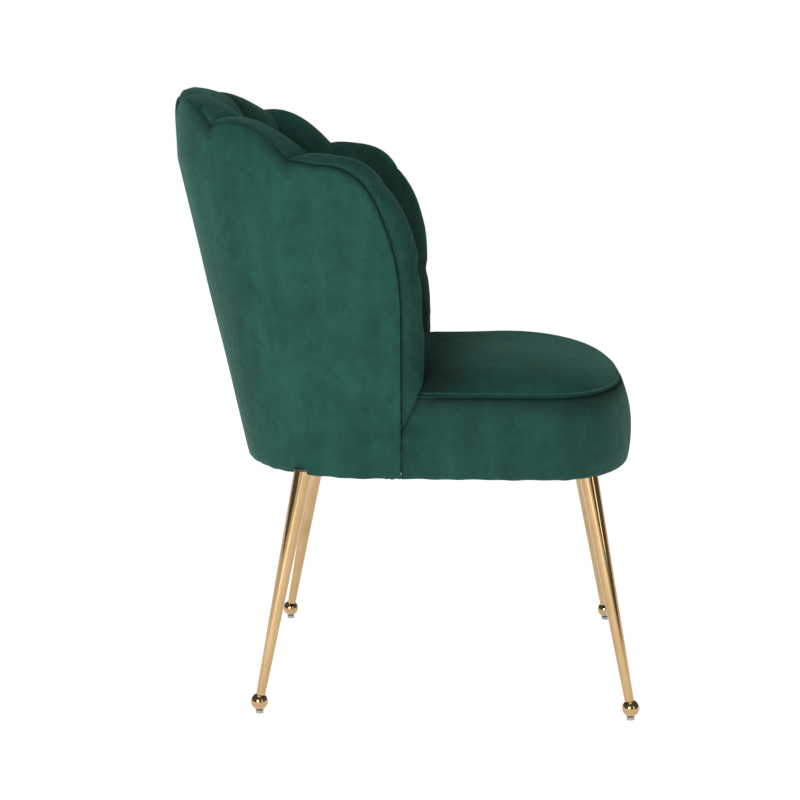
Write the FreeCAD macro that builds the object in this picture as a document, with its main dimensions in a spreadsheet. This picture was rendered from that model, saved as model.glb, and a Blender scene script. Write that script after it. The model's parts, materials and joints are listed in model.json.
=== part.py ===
import FreeCAD, Part
import math
import os

import Sketcher

# Upholstered tub dining chair with a scalloped back of seven padded petals, on four splayed metal legs.
# Millimetres. +Z is up, the front of the chair faces -Y, and the origin is on the floor under the middle
# of the chair's bounding box.

os.makedirs("parts", exist_ok=True)
doc = FreeCAD.newDocument("dining_chair")
sheet = doc.addObject("Spreadsheet::Sheet", "sizes")

driving = [
    # seat
    ("seatUnderside", 330, "underside of the seat band"),
    ("seatSeam", 441, "seam between seat top and seat band"),
    ("seatCrown", 485, "highest point of the seat"),
    ("seatFront", -316.9, "front of the seat band, at its fullest"),
    ("seatHalfWidth", 242, "half of the seat's width at its fullest"),
    ("bandInset", 10, "how far the band is drawn in at its lower edge"),
    ("frontBow", 14, "how far the seat's front edge bows forward of its corners"),
    ("frontCorner", 88, "radius of the seat's front corners"),
    ("clothThick", 2.5, "velvet with its backing"),
    # wooden seat frame
    ("railBottom", 336, "underside of the plywood rail"),
    ("railHeight", 56, "height of the plywood rail"),
    ("railThick", 18, "thickness of the plywood rail"),
    ("railInset", 15, "rail's outer face in from the seat's outline"),
    ("blockSize", 108, "side of a corner block"),
    ("blockHeight", 28, "height of a corner block"),
    ("blockScrewRadius", 2, "radius of the corner-block screws"),
    ("strapWide", 48, "width of the elastic webbing"),
    ("strapThick", 2, "thickness of the elastic webbing"),
    ("foamThick", 61, "thickness of the seat foam"),
    ("dustThick", 0.8, "dust cover under the seat"),
    # tub back
    ("tubStart", 20.5, "where the tub's straight sides turn into its round rear"),
    ("tubHalfWidth", 232, "half of the tub's width at the seat's underside"),
    ("tubRear", 225.5, "rear of the tub at the seat's underside"),
    ("sideLean", 0.086, "how far the sides lean out per unit of height"),
    ("rearLean", 0.2257, "how far the rear leans back per unit of height"),
    ("shellThick", 10, "bent plywood of the back"),
    ("petalThick", 62, "padding of a petal at its fullest"),
    ("petalValley", 42, "padding of a petal at its sewn valley"),
    ("petalBottom", 396.4, "lower end of the petals"),
    ("petalGap", 0.4, "gap between neighbouring petals at the valley"),
    ("bendHeight", 742, "height at which the leaning rear turns upright"),
    ("uprightLean", 0.035, "lean of the rear above the bend"),
    ("crestDrop", 18, "rise of a petal's rounded top over its inner face"),
    ("seamDrop", 15, "outer cover's seam below the top of the petals"),
    ("centerTop", 840, "top of the middle petal"),
    ("firstValley", 12, "turn of the valley between the middle petal and the next"),
    ("firstValleyTop", 829, "top of the back at the first valley"),
    ("secondValley", 36, "turn of the second valley"),
    ("secondValleyTop", 799.5, "top of the back at the second valley"),
    ("thirdValley", 62.5, "turn of the valley between the last rear petal and the wing"),
    ("thirdValleyTop", 752.5, "top of the back at the third valley"),
    ("firstHump", 6, "rise of the first petal's top between its valleys"),
    ("secondHump", 13.5, "rise of the second petal's top between its valleys"),
    ("wingPeak", 105, "where the wing's top edge starts to round down, front to rear"),
    ("wingFront", -29.5, "foremost reach of the wing"),
    ("wingMid", 530, "height of the wing's foremost reach"),
    ("wingSeam", -1.5, "outer cover's front seam on the wing, front to rear"),
    ("wingSeamPeak", 130, "where the wing's seam starts to round down"),
    ("wingSeamTop", 741, "top of the wing's seam"),
    # legs
    ("legTopRadius", 12.5, "radius of a leg tube under the seat"),
    ("legTipRadius", 6.2, "radius of a leg tube above its ball"),
    ("tubeWall", 1.6, "wall of a leg tube"),
    ("legTopX", 197, "legs under the seat, across"),
    ("legTopY", 191, "legs under the seat, front to rear from their mid"),
    ("legMid", -59.5, "middle between the front and rear legs"),
    ("ballRadius", 11.75, "radius of the ball on a leg's end"),
    ("ballHeight", 16, "centre of the ball above the floor"),
    ("ballFrontX", 235.5, "front balls, across"),
    ("ballRearX", 225.5, "rear balls, across"),
    ("ballY", 251, "balls, front to rear from the legs' mid"),
    ("glideRadius", 5.3, "radius of a plastic glide"),
    ("glideStem", 2.5, "radius of a glide's stem"),
    ("glideDepth", 9, "how deep the stem goes into the ball"),
    ("plateSide", 76, "side of a leg's square mounting plate"),
    ("plateThick", 3.4, "thickness of a leg's mounting plate"),
    ("plateInward", 26, "plate's middle, in from its leg both ways"),
    ("screwPitch", 22, "plate screws, out from the plate's middle both ways"),
    ("screwRadius", 2.2, "radius of the plate screws"),
    ("screwLength", 24, "length of the plate screws"),
    ("boltRadius", 3, "radius of the bolts that hold the back to the seat rail"),
]
for row, (alias, value, note) in enumerate(driving, start=1):
    sheet.set("A%d" % row, note)
    sheet.set("B%d" % row, str(value))
    sheet.setAlias("B%d" % row, alias)
doc.recompute()


def size(alias):
    return float(sheet.get(alias))


parts = []          # every sub-part, in the order it is made


def keep(obj, node):
    obj.Label = node
    parts.append(obj)
    return obj


# outlines

def roundedOutline(corners):
    """Edges of a closed outline through (x, y, radius) corners, each rounded by an arc."""
    ends = []
    count = len(corners)
    for i, (x, y, radius) in enumerate(corners):
        here = FreeCAD.Vector(x, y, 0)
        before = FreeCAD.Vector(corners[i - 1][0], corners[i - 1][1], 0) - here
        after = FreeCAD.Vector(corners[(i + 1) % count][0], corners[(i + 1) % count][1], 0) - here
        before.normalize()
        after.normalize()
        half = before.getAngle(after) / 2
        setback = radius / math.tan(half)
        middle = (before + after).normalize()
        arcMiddle = here + middle * (radius / math.sin(half) - radius)
        ends.append((here + before * setback, arcMiddle, here + after * setback))
    edges = []
    for i, (arcStart, arcMiddle, arcEnd) in enumerate(ends):
        if (arcEnd - arcStart).Length > 1e-6:
            edges.append(Part.Arc(arcStart, arcMiddle, arcEnd))
        edges.append(Part.LineSegment(arcEnd, ends[(i + 1) % count][0]))
    return edges


def mirrored(corners):
    """A right-hand half outline, front to rear, completed by its mirror image."""
    return corners + [(-x, y, radius) for x, y, radius in reversed(corners) if x > 0]


def seatOutline(inset):
    """The seat's top: broad in front of the wings, narrow between them."""
    front = size("seatFront") + inset
    half = size("seatHalfWidth") - inset
    padding = size("shellThick") + size("petalThick") + 6
    inner = tubHalf(size("seatSeam")) - padding - inset
    rear = tubRearAt(size("seatSeam")) - padding - inset
    shoulder = size("wingFront") - 5 - inset
    return mirrored([(0, front, 900),
                     (half, front + size("frontBow"), size("frontCorner") - inset / 2),
                     (half, shoulder, 9),
                     (inner, shoulder, 6),
                     (inner, rear, 160 - inset)])


def railOutline(inset):
    """The wooden frame stands inside the seat's front and the tub's rear."""
    front = size("seatFront") + size("bandInset") + inset
    half = size("tubHalfWidth") - inset
    rear = size("tubRear") - inset
    return mirrored([(0, front, 900),
                     (half, front + size("frontBow"), size("frontCorner") - inset / 2),
                     (half, rear, 200 - inset)])


def face(outline, z=0.0):
    wire = Part.Wire([edge.toShape() for edge in roundedOutline(outline)])
    made = Part.Face(wire)
    made.translate(FreeCAD.Vector(0, 0, z))
    return made


def originPlane(body, role):
    return [plane for plane in body.Origin.OriginFeatures if plane.Role == role][0]


def sketchOn(body, name, edges, height):
    """A sketch parallel to the floor, at a height given as a sheet expression."""
    sketch = body.newObject("Sketcher::SketchObject", name)
    sketch.AttachmentSupport = [(originPlane(body, "XY_Plane"), "")]
    sketch.MapMode = "FlatFace"
    sketch.setExpression("AttachmentOffset.Base.z", height)
    sketch.addGeometry(edges, False)
    return sketch


def padded(node, edges, height, length):
    """A body made by one sketch and one pad."""
    body = doc.addObject("PartDesign::Body", node + "_body")
    sketch = sketchOn(body, node + "_outline", edges, height)
    pad = body.newObject("PartDesign::Pad", node + "_pad")
    pad.Profile = sketch
    pad.setExpression("Length", length)
    body.Tip = pad
    return keep(body, node)


def withoutOffcuts(shape):
    """The solids of a cut shape that are more than slivers."""
    whole = [solid for solid in shape.Solids if solid.Volume > shape.Volume / 20]
    return whole[0] if len(whole) == 1 else Part.makeCompound(whole)


def solidFeature(shape, node):
    feature = doc.addObject("Part::Feature", node + "_solid")
    feature.Shape = shape
    return keep(feature, node)


# the tub's surface

def tubHalf(z):
    return size("tubHalfWidth") + size("sideLean") * (z - size("seatUnderside"))


def tubRearAt(z):
    return size("tubRear") + size("rearLean") * (z - size("seatUnderside"))


def tubPoint(turn, z, inset):
    """A point of the tub. turn is 0 at the rear's middle, 90 at the end of the round, and runs on
    forward along the straight side at 1 mm a unit; negative turns are on the left (-X)."""
    side = 1 if turn >= 0 else -1
    reach = abs(turn)
    start = size("tubStart")
    half = tubHalf(z) - inset
    deep = tubRearAt(z) - start - inset
    if reach > 90:
        return FreeCAD.Vector(side * half, start - (reach - 90), z)
    squareness = 2 / 2.3                     # a superellipse, a little squarer than an ellipse
    angle = math.radians(reach)
    x = half * math.sin(angle) ** squareness
    y = start + deep * math.cos(angle) ** squareness
    return FreeCAD.Vector(side * x, y, z)


def facing(turn):
    """The tub's outward direction at a turn, level with the floor."""
    level = size("seatUnderside") + 300
    along = tubPoint(turn + 0.5, level, 0) - tubPoint(turn - 0.5, level, 0)
    return FreeCAD.Vector(-along.y, along.x, 0).normalize()


def tubPlace(turn, depth, z):
    """A point of the section at a turn, at a depth inside the tub's outer surface."""
    base = size("seatUnderside")
    bend = size("bendHeight")
    outward = facing(turn)
    foot = tubPoint(turn, base, 0)
    lean = (tubPoint(turn, bend, 0) - foot).dot(outward) / (bend - base)
    rise = min(z, bend) - base
    above = max(z - bend, 0)
    point = foot + outward * (lean * rise + size("uprightLean") * above - depth)
    return FreeCAD.Vector(point.x, point.y, z)


def rounding(share):
    """1 at share 0, falling to 0 at share 1 along a rounded corner."""
    return max(0.0, 1 - max(0.0, min(1.0, share)) ** 2.3) ** (1 / 2.3)


def wingY(turn):
    return tubPoint(abs(turn), size("bendHeight"), 0).y


def crestAt(turn):
    """Top of the petals. Each rear petal is a hump between two valleys; the wing rounds down in front."""
    reach = abs(turn)
    valleys = [(-size("firstValley"), size("firstValleyTop")),
               (size("firstValley"), size("firstValleyTop")),
               (size("secondValley"), size("secondValleyTop")),
               (size("thirdValley"), size("thirdValleyTop"))]
    humps = [size("centerTop") - size("firstValleyTop"), size("firstHump"), size("secondHump")]
    for (start, low), (end, high), hump in zip(valleys, valleys[1:], humps):
        if reach <= end:
            share = (reach - start) / (end - start)
            return low + (high - low) * share + hump * 4 * share * (1 - share)
    span = size("wingPeak") - size("wingFront")
    fall = rounding((size("wingPeak") - wingY(turn)) / span)
    return size("wingMid") + (size("thirdValleyTop") - size("wingMid")) * fall


def seamAt(turn):
    """Upper edge of the outer cover, a little below the petals' tops and well inside the wing's edge."""
    if abs(turn) <= size("thirdValley"):
        return crestAt(turn) - size("seamDrop") - 1
    span = size("wingSeamPeak") - size("wingSeam")
    fall = rounding((size("wingSeamPeak") - wingY(turn)) / span)
    wing = size("wingMid") + (size("wingSeamTop") - size("wingMid")) * fall
    return min(wing, crestAt(turn) - size("seamDrop") - 1)


def wingBottomAt(turn):
    """Lower edge of the wing's nose, which tapers back under its foremost reach."""
    ahead = size("wingSeam") - size("wingFront")
    share = min(1.0, max(0.0, (wingY(turn) - size("wingFront")) / ahead))
    rise = size("wingMid") - 30 - size("petalBottom")
    return size("petalBottom") + rise * (1 - share ** (1 / 2.2))


def petalDepth(turn, start, end):
    """Depth of a petal's inner face inside the tub's outer surface: fullest half way between valleys."""
    share = (turn - start) / (end - start)
    padding = size("petalValley") + (size("petalThick") - size("petalValley")) * 4 * share * (1 - share)
    return size("clothThick") + size("shellThick") + 1 + padding


def wireOf(points, arcAt=None):
    """A closed wire through points; the two spans from arcAt on are one arc."""
    edges = []
    i = 0
    while i < len(points):
        if i == arcAt:
            edges.append(Part.Arc(points[i], points[i + 1], points[i + 2]).toShape())
            i += 2
        else:
            edges.append(Part.LineSegment(points[i], points[(i + 1) % len(points)]).toShape())
            i += 1
    return Part.Wire(edges)


def loftOf(wires):
    return Part.makeLoft(wires, True, False)


def stations(start, end, count):
    return [start + (end - start) * i / (count - 1) for i in range(count)]


def petalSection(turn, front, inner, grown, beyond):
    """A petal in section: it stands before the shell and rolls over the shell's upper edge.
    inner is the depth of its back face. grown moves the other faces inward, for what fills the petal;
    beyond carries its back and its lower faces outward, for a cutter."""
    crest = crestAt(turn) - grown
    seam = seamAt(turn) + 0.3
    bend = min(size("bendHeight"), seam - 30)
    low = size("petalBottom") - beyond
    near = front - grown
    crestDrop = size("crestDrop") - grown
    shoulder = crest - size("seamDrop") + grown
    step = size("clothThick") + 0.4
    underLip = seam - 6 - beyond
    back = inner - beyond / 2
    corners = [(near, low), (near, bend), (near, crest - crestDrop),
               ((near + grown) / 2, crest),
               (grown, shoulder), (grown, seam - beyond / 2),
               (step, seam - beyond / 2), (step, underLip),
               (back, underLip), (back, bend - 10), (back, low)]
    return wireOf([tubPlace(turn, depth, z) for depth, z in corners], 2)


def noseSection(turn, front, grown):
    """The wing's nose in section, rounded off towards its foremost reach."""
    blunt = size("wingSeam") - 12
    share = max(0.0, (blunt - wingY(turn)) / (blunt - size("wingFront") + 1))
    half = front / 2 * math.sqrt(max(0.05, 1 - share ** 2)) - grown
    middle = front / 2
    top = crestAt(turn) - grown
    low = wingBottomAt(turn) + grown
    corners = [(middle + half, low), (middle + half, top - 20), (middle, top),
               (middle - half, top - 20), (middle - half, low)]
    return wireOf([tubPlace(turn, depth, z) for depth, z in corners], 1)


shellBack = size("clothThick") + 0.4
shellFront = shellBack + size("shellThick")
petalBack = shellFront + 0.4


def sheetSection(turn, near, far, low, high):
    bend = min(size("bendHeight"), high - 30)
    corners = [(far, low), (far, bend), (far, high), (near, high), (near, bend), (near, low)]
    return wireOf([tubPlace(turn, depth, z) for depth, z in corners])


wingTurn = 90 + size("tubStart") - size("wingSeam")      # forward of 90, a turn counts millimetres
noseTurn = 90 + size("tubStart") - size("wingFront") - 0.8
lobes = [(-size("firstValley"), size("firstValley")),
         (size("firstValley"), size("secondValley")),
         (size("secondValley"), size("thirdValley")),
         (size("thirdValley"), wingTurn)]


def allLobes():
    """Every petal's valleys, left to right across the chair, the middle one once."""
    left = [(-end, -start) for start, end in reversed(lobes[1:])]
    return left + lobes


def bentSheet(near, far, low, drop):
    """A sheet that follows the tub, from wing to wing, with the petals' scalloped upper edge."""
    spans = []
    edge = wingTurn - 2
    for start, end in allLobes():
        turns = stations(max(start, -edge), min(end, edge), 7)
        spans.append(loftOf([sheetSection(turn, near, far, low, seamAt(turn) - drop) for turn in turns]))
    whole = spans[0].fuse(spans[1:])
    return whole.removeSplitter()


# wooden seat frame

rail = doc.addObject("PartDesign::Body", "seat_rail_body")
railOuter = sketchOn(rail, "rail_outer", roundedOutline(railOutline(size("railInset"))), "sizes.railBottom")
railPad = rail.newObject("PartDesign::Pad", "rail_pad")
railPad.Profile = railOuter
railPad.setExpression("Length", "sizes.railHeight")
rail.Tip = railPad
doc.recompute()
railInner = sketchOn(rail, "rail_inner", roundedOutline(railOutline(size("railInset") + size("railThick"))),
                     "sizes.railBottom")
railPocket = rail.newObject("PartDesign::Pocket", "rail_opening")
railPocket.Profile = railInner
railPocket.Reversed = True
railPocket.setExpression("Length", "sizes.railHeight")
rail.Tip = railPocket
keep(rail, "seat_rail")

cornerNames = {("front", "left"): (-1, -1), ("front", "right"): (1, -1),
               ("rear", "left"): (-1, 1), ("rear", "right"): (1, 1)}
railHole = face(railOutline(size("railInset") + size("railThick") + 0.2), size("railBottom")).extrude(
    FreeCAD.Vector(0, 0, size("railHeight")))

legTops = {}
ballCentres = {}
for (end, side), (sx, sy) in cornerNames.items():
    legTops[end, side] = FreeCAD.Vector(sx * size("legTopX"), size("legMid") + sy * size("legTopY"), 0)
    across = size("ballFrontX") if end == "front" else size("ballRearX")
    ballCentres[end, side] = FreeCAD.Vector(sx * across, size("legMid") + sy * size("ballY"), size("ballHeight"))


def plateCentre(end, side):
    """A leg stands at its plate's outer corner, so that the plate's screws reach the corner block."""
    sx, sy = cornerNames[end, side]
    top = legTops[end, side]
    return FreeCAD.Vector(top.x - sx * size("plateInward"), top.y - sy * size("plateInward"), 0)


def screwPlaces(end, side):
    """Three screws, at the plate's corners other than the leg's own."""
    sx, sy = cornerNames[end, side]
    centre = plateCentre(end, side)
    pitch = size("screwPitch")
    return [FreeCAD.Vector(centre.x + dx * sx * pitch, centre.y + dy * sy * pitch, 0)
            for dx, dy in ((-1, -1), (1, -1), (-1, 1))]


up = FreeCAD.Vector(0, 0, 1)
plateTop = size("railBottom") - size("dustThick") - 0.2
plateBottom = plateTop - size("plateThick")


def woodScrew(place, headBottom, length, radius):
    """A pan-headed screw that points up, its head's underside at headBottom."""
    head = Part.makeCylinder(radius * 1.9, radius, place + up * headBottom)
    shank = Part.makeCylinder(radius, length, place + up * (headBottom + radius))
    return head.fuse(shank)


plateScrews = {}
for end, side in cornerNames:
    headBottom = plateBottom - size("screwRadius")
    plateScrews[end, side] = [woodScrew(place, headBottom, size("screwLength"), size("screwRadius"))
                              for place in screwPlaces(end, side)]
allPlateScrews = [screw for group in plateScrews.values() for screw in group]

blockScrews = []
for (end, side), (sx, sy) in cornerNames.items():
    half = size("tubHalfWidth") - size("railInset") - size("railThick")
    centre = plateCentre(end, side)
    for offset in (-30, 14):
        inside = FreeCAD.Vector(sx * (half - 24), centre.y - sy * 18 + offset, size("railBottom") + 14)
        shank = Part.makeCylinder(size("blockScrewRadius"), 36, inside, FreeCAD.Vector(sx, 0, 0))
        blockScrews.append(shank)

for (end, side), (sx, sy) in cornerNames.items():
    centre = plateCentre(end, side)
    wide = size("blockSize")
    low = FreeCAD.Vector(centre.x - wide / 2, centre.y - wide / 2, size("railBottom"))
    block = Part.makeBox(wide, wide, size("blockHeight"), low).common(railHole)
    for screw in plateScrews[end, side] + blockScrews:
        block = block.cut(screw)
    solidFeature(block, "corner_block_%s_%s" % (end, side))
solidFeature(Part.makeCompound(blockScrews), "corner_block_screws")


# back: shell, petals, outer cover

boltTurns = [-62, -31, 0, 31, 62]
boltHeight = size("railBottom") + 10


def backBolt(turn, radius, start, end):
    """A rod through the shell and the rail, level and square to the tub."""
    outside = tubPlace(turn, start, boltHeight)
    return Part.makeCylinder(radius, end - start, outside, facing(turn) * -1)


boltEnd = size("railInset") + size("railThick") + 16
bolts = []
washers = []
for turn in boltTurns:
    shank = backBolt(turn, size("boltRadius"), size("clothThick") + 1, boltEnd)
    head = backBolt(turn, size("boltRadius") * 2.2, size("clothThick") + 0.6, size("clothThick") + 2.4)
    bolts.append(shank.fuse(head))
    nutAt = boltEnd - 8
    ring = backBolt(turn, size("boltRadius") * 2.4, nutAt, nutAt + 1.5)
    nut = backBolt(turn, size("boltRadius") * 1.8, nutAt + 1.5, nutAt + 6.5)
    washers.append(ring.fuse(nut).cut(shank))

shell = bentSheet(shellBack, shellFront, size("railBottom"), 6.5)
for bolt in bolts:
    shell = shell.cut(bolt)
solidFeature(shell, "back_shell")
outerCover = bentSheet(0, size("clothThick"), size("seatUnderside"), 0.3)
solidFeature(outerCover, "back_outer_cover")
solidFeature(Part.makeCompound(bolts), "back_bolts")
solidFeature(Part.makeCompound(washers), "back_nuts")

petalNames = ["wing_left", "petal_left_2", "petal_left_1", "petal_center",
              "petal_right_1", "petal_right_2", "wing_right"]
gapTurn = size("petalGap") / 2 / 5          # about 5 mm of the tub's edge to a degree
clothIn = size("clothThick")
noses = {}


def petalSolid(start, end, grown, beyond=0):
    """A padded channel between two valleys, or what fills it where it is grown inward. A wing is long
    and changes from the round to the straight side, so it has more sections, with straight spans."""
    margin = gapTurn + grown / 5
    isWing = wingTurn in (-start, end)
    first = start if -start == wingTurn else start + margin
    last = end if end == wingTurn else end - margin
    wires = []
    for turn in stations(first, last, 10 if isWing else 7):
        front = petalDepth(turn, start, end)
        wires.append(petalSection(turn, front, petalBack, grown, beyond))
    return Part.makeLoft(wires, True, isWing)


def noseSolid(sign, front, grown):
    """The front of a wing, wrapped round the shell's front edge."""
    root = wingTurn - 1
    reach = noseTurn - grown
    turns = [root + (reach - root) * share for share in (0, 0.35, 0.65, 0.87, 1)]
    return loftOf([noseSection(sign * turn, front, grown) for turn in turns])


for name, (start, end) in zip(petalNames, allLobes()):
    cover = petalSolid(start, end, 0)
    filling = petalSolid(start, end, clothIn, 5)
    foam = petalSolid(start, end, clothIn + 0.1)
    if name.startswith("wing"):
        sign = 1 if end > 0 else -1
        front = petalDepth(sign * wingTurn, start, end)
        noses[name] = noseSolid(sign, front, 0)
        cover = cover.fuse(noses[name])
        filling = filling.fuse(noseSolid(sign, front, clothIn))
        foam = foam.fuse(noseSolid(sign, front, clothIn + 0.1))
    solidFeature(foam, name + "_foam")
    solidFeature(withoutOffcuts(cover.cut(filling)), name + "_cover")


# seat

railTop = size("railBottom") + size("railHeight")
strapArea = face(railOutline(size("railInset") + 5), railTop).extrude(up * 10)
for node, along, level in (("webbing_lengthwise", (0, 1), 0), ("webbing_crosswise", (1, 0), 1)):
    straps = []
    for place in (-105, -35, 35, 105):
        wide = size("strapWide")
        thick = size("strapThick")
        base = railTop + level * thick
        if along == (0, 1):
            strap = Part.makeBox(wide, 700, thick, FreeCAD.Vector(place - wide / 2, -350, base))
        else:
            strap = Part.makeBox(700, wide, thick, FreeCAD.Vector(-350, place - 45 - wide / 2, base))
        straps.append(strap.common(strapArea))
    solidFeature(Part.makeCompound(straps), node)

foamBase = railTop + 2 * size("strapThick") + 0.2
padded("seat_foam", roundedOutline(seatOutline(14)), "sizes.railBottom + sizes.railHeight + 4.2",
       "sizes.foamThick")
foamTop = foamBase + size("foamThick")


def domeOf(shrink):
    """The crowned top of the seat, moved inward by shrink."""
    crown = size("seatCrown") - shrink
    seam = size("seatSeam")
    rise = crown - seam
    steps = [(0, 0), (0.32, 2), (0.62, 9), (0.84, 26), (0.95, 52), (1.0, 92)]     # share of rise, inset
    wires = []
    for share, inset in steps:
        outline = roundedOutline(seatOutline(inset + shrink))
        wire = Part.Wire([edge.toShape() for edge in outline])
        wire.translate(up * (seam + rise * share))
        wires.append(wire)
    return Part.makeLoft(wires, True, False)


dome = domeOf(0)
hollow = domeOf(size("clothThick"))
solidFeature(dome.cut(hollow), "seat_top_cover")
belowFoam = Part.makeBox(900, 900, 200, FreeCAD.Vector(-450, -450, foamTop + 0.2 - 200))
solidFeature(hollow.cut(belowFoam), "seat_wadding")


def bandOf(shrink):
    """The full side of the seat, drawn in at its lower edge."""
    low, high = size("seatUnderside"), size("seatSeam") - 0.4
    tall = high - low
    drawn = size("bandInset")
    profile = [(low, drawn), (low + tall * 0.14, drawn * 0.45), (low + tall * 0.38, 0),
               (low + tall * 0.73, 0.5), (high, 3)]                               # height, inset
    wires = []
    for z, inset in profile:
        front = size("seatFront") + inset + shrink
        half = size("seatHalfWidth") - inset - shrink
        corner = size("frontCorner") - inset / 2
        outline = mirrored([(0, front, 900), (half, front + size("frontBow"), corner), (half, 120, 20)])
        wire = Part.Wire([edge.toShape() for edge in roundedOutline(outline)])
        wire.translate(up * z)
        wires.append(wire)
    return Part.makeLoft(wires, True, False)


band = bandOf(0).cut(bandOf(size("clothThick")))
behindBand = Part.makeBox(900, 500, 300, FreeCAD.Vector(-450, size("wingSeam") - 0.4, 250))
band = band.cut(behindBand)
for nose in noses.values():
    band = band.cut(nose)
solidFeature(band, "seat_band_cover")

dustSheet = face(railOutline(6), size("railBottom") - size("dustThick") - 0.1).extrude(up * size("dustThick"))
for screw in allPlateScrews:
    dustSheet = dustSheet.cut(screw)
solidFeature(dustSheet, "dust_cover")

staples = []
railMiddle = Part.Wire([edge.toShape() for edge in roundedOutline(railOutline(size("railInset") + 8))])
for place in railMiddle.discretize(44)[:-1]:
    nearPlate = min((place - plateCentre(end, side)).Length for end, side in cornerNames)
    if nearPlate > size("plateSide") * 0.72:
        crown = Part.makeBox(10, 1.2, 0.7, FreeCAD.Vector(-5, -0.6, 0))
        turnTo = math.degrees(math.atan2(place.y + 40, place.x)) + 90
        crown.rotate(FreeCAD.Vector(0, 0, 0), up, turnTo)
        crown.translate(place + up * (plateTop - 0.7))
        staples.append(crown)
solidFeature(Part.makeCompound(staples), "dust_cover_staples")
solidFeature(Part.makeCompound(allPlateScrews), "leg_plate_screws")


# legs

for (end, side), (sx, sy) in cornerNames.items():
    node = "%s_%s" % (end, side)
    ball = ballCentres[end, side]
    top = legTops[end, side] + up * plateBottom
    along = (top - ball).normalize()
    tilt = FreeCAD.Rotation(up, along)

    centre = plateCentre(end, side)
    half = size("plateSide") / 2
    corners = [(centre.x - half, centre.y - half, 9), (centre.x + half, centre.y - half, 9),
               (centre.x + half, centre.y + half, 9), (centre.x - half, centre.y + half, 9)]
    plate = doc.addObject("PartDesign::Body", "leg_plate_%s_body" % node)
    outline = sketchOn(plate, "plate_outline_" + node, roundedOutline(corners),
                       "sizes.railBottom - sizes.dustThick - 0.2 - sizes.plateThick")
    pad = plate.newObject("PartDesign::Pad", "plate_pad_" + node)
    pad.Profile = outline
    pad.setExpression("Length", "sizes.plateThick")
    plate.Tip = pad
    doc.recompute()
    circles = [Part.Circle(place, up, size("screwRadius") + 0.2) for place in screwPlaces(end, side)]
    drilled = sketchOn(plate, "plate_drilling_" + node, circles,
                       "sizes.railBottom - sizes.dustThick - 0.2 - sizes.plateThick")
    holes = plate.newObject("PartDesign::Pocket", "plate_holes_" + node)
    holes.Profile = drilled
    holes.Reversed = True
    holes.setExpression("Length", "sizes.plateThick")
    plate.Tip = holes
    keep(plate, "leg_plate_" + node)

    length = (top - ball).Length + 30
    cones = []
    for layer, wall in (("outside", 0), ("inside", size("tubeWall"))):
        cone = doc.addObject("Part::Cone", "leg_%s_%s" % (node, layer))
        less = " - sizes.tubeWall" if wall else ""
        cone.setExpression("Radius1", "sizes.legTipRadius" + less)
        cone.setExpression("Radius2", "sizes.legTopRadius + 0.6" + less)
        cone.Height = length
        cone.Placement = FreeCAD.Placement(ball, tilt)
        cones.append(cone)
    tube = doc.addObject("Part::Cut", "leg_%s_tube" % node)
    tube.Base, tube.Tool = cones
    waste = doc.addObject("Part::Box", "leg_%s_waste" % node)
    waste.Length = waste.Width = waste.Height = 120
    waste.Placement.Base = FreeCAD.Vector(top.x - 60, top.y - 60, plateBottom)
    trimmed = doc.addObject("Part::Cut", "leg_%s_trimmed" % node)
    trimmed.Base = tube
    trimmed.Tool = waste
    seatBall = doc.addObject("Part::Sphere", "leg_%s_seat" % node)
    seatBall.setExpression("Radius", "sizes.ballRadius")
    seatBall.Placement.Base = ball
    leg = doc.addObject("Part::Cut", "leg_%s_cut" % node)
    leg.Base = trimmed
    leg.Tool = seatBall
    keep(leg, "leg_" + node)

    sphere = doc.addObject("Part::Sphere", "ball_%s_sphere" % node)
    sphere.setExpression("Radius", "sizes.ballRadius")
    sphere.Placement.Base = ball
    ballBottom = size("ballHeight") - size("ballRadius")
    socket = doc.addObject("Part::Cylinder", "ball_%s_socket" % node)
    socket.setExpression("Radius", "sizes.glideStem")
    socket.Height = ballBottom + size("glideDepth")
    socket.Placement.Base = FreeCAD.Vector(ball.x, ball.y, 0)
    bored = doc.addObject("Part::Cut", "ball_%s_bored" % node)
    bored.Base = sphere
    bored.Tool = socket
    keep(bored, "leg_ball_" + node)

    foot = doc.addObject("Part::Cylinder", "glide_%s_foot" % node)
    foot.setExpression("Radius", "sizes.glideRadius")
    foot.Height = ballBottom
    foot.Placement.Base = FreeCAD.Vector(ball.x, ball.y, 0)
    stem = doc.addObject("Part::Cylinder", "glide_%s_stem" % node)
    stem.setExpression("Radius", "sizes.glideStem")
    stem.Height = ballBottom + size("glideDepth")
    stem.Placement.Base = FreeCAD.Vector(ball.x, ball.y, 0)
    glide = doc.addObject("Part::Fuse", "glide_%s_fuse" % node)
    glide.Base = foot
    glide.Tool = stem
    keep(glide, "glide_" + node)


# rail drilling, checks and export

doc.recompute()
railSolid = rail.Shape.copy()
for bolt in bolts + blockScrews:
    railSolid = railSolid.cut(bolt)
parts.remove(rail)
rail.Label = "seat_rail_undrilled"
solidFeature(railSolid, "seat_rail")

doc.recompute()
for obj in doc.Objects:
    if "Invalid" in obj.State or "Error" in obj.State:
        raise SystemExit("failed: %s %s" % (obj.Name, obj.State))
box = FreeCAD.BoundBox()
for part in parts:
    shape = part.Shape
    if shape.isNull() or not shape.isValid() or shape.Volume <= 0:
        raise SystemExit("bad shape: " + part.Label)
    box.add(shape.BoundBox)
    print("%-28s solids %2d  volume %10.0f" % (part.Label, len(shape.Solids), shape.Volume))
print("parts", len(parts), "box", box)
for part in parts:
    part.Shape.exportStep("parts/%s.step" % part.Label)
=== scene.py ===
import json
import math

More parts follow.
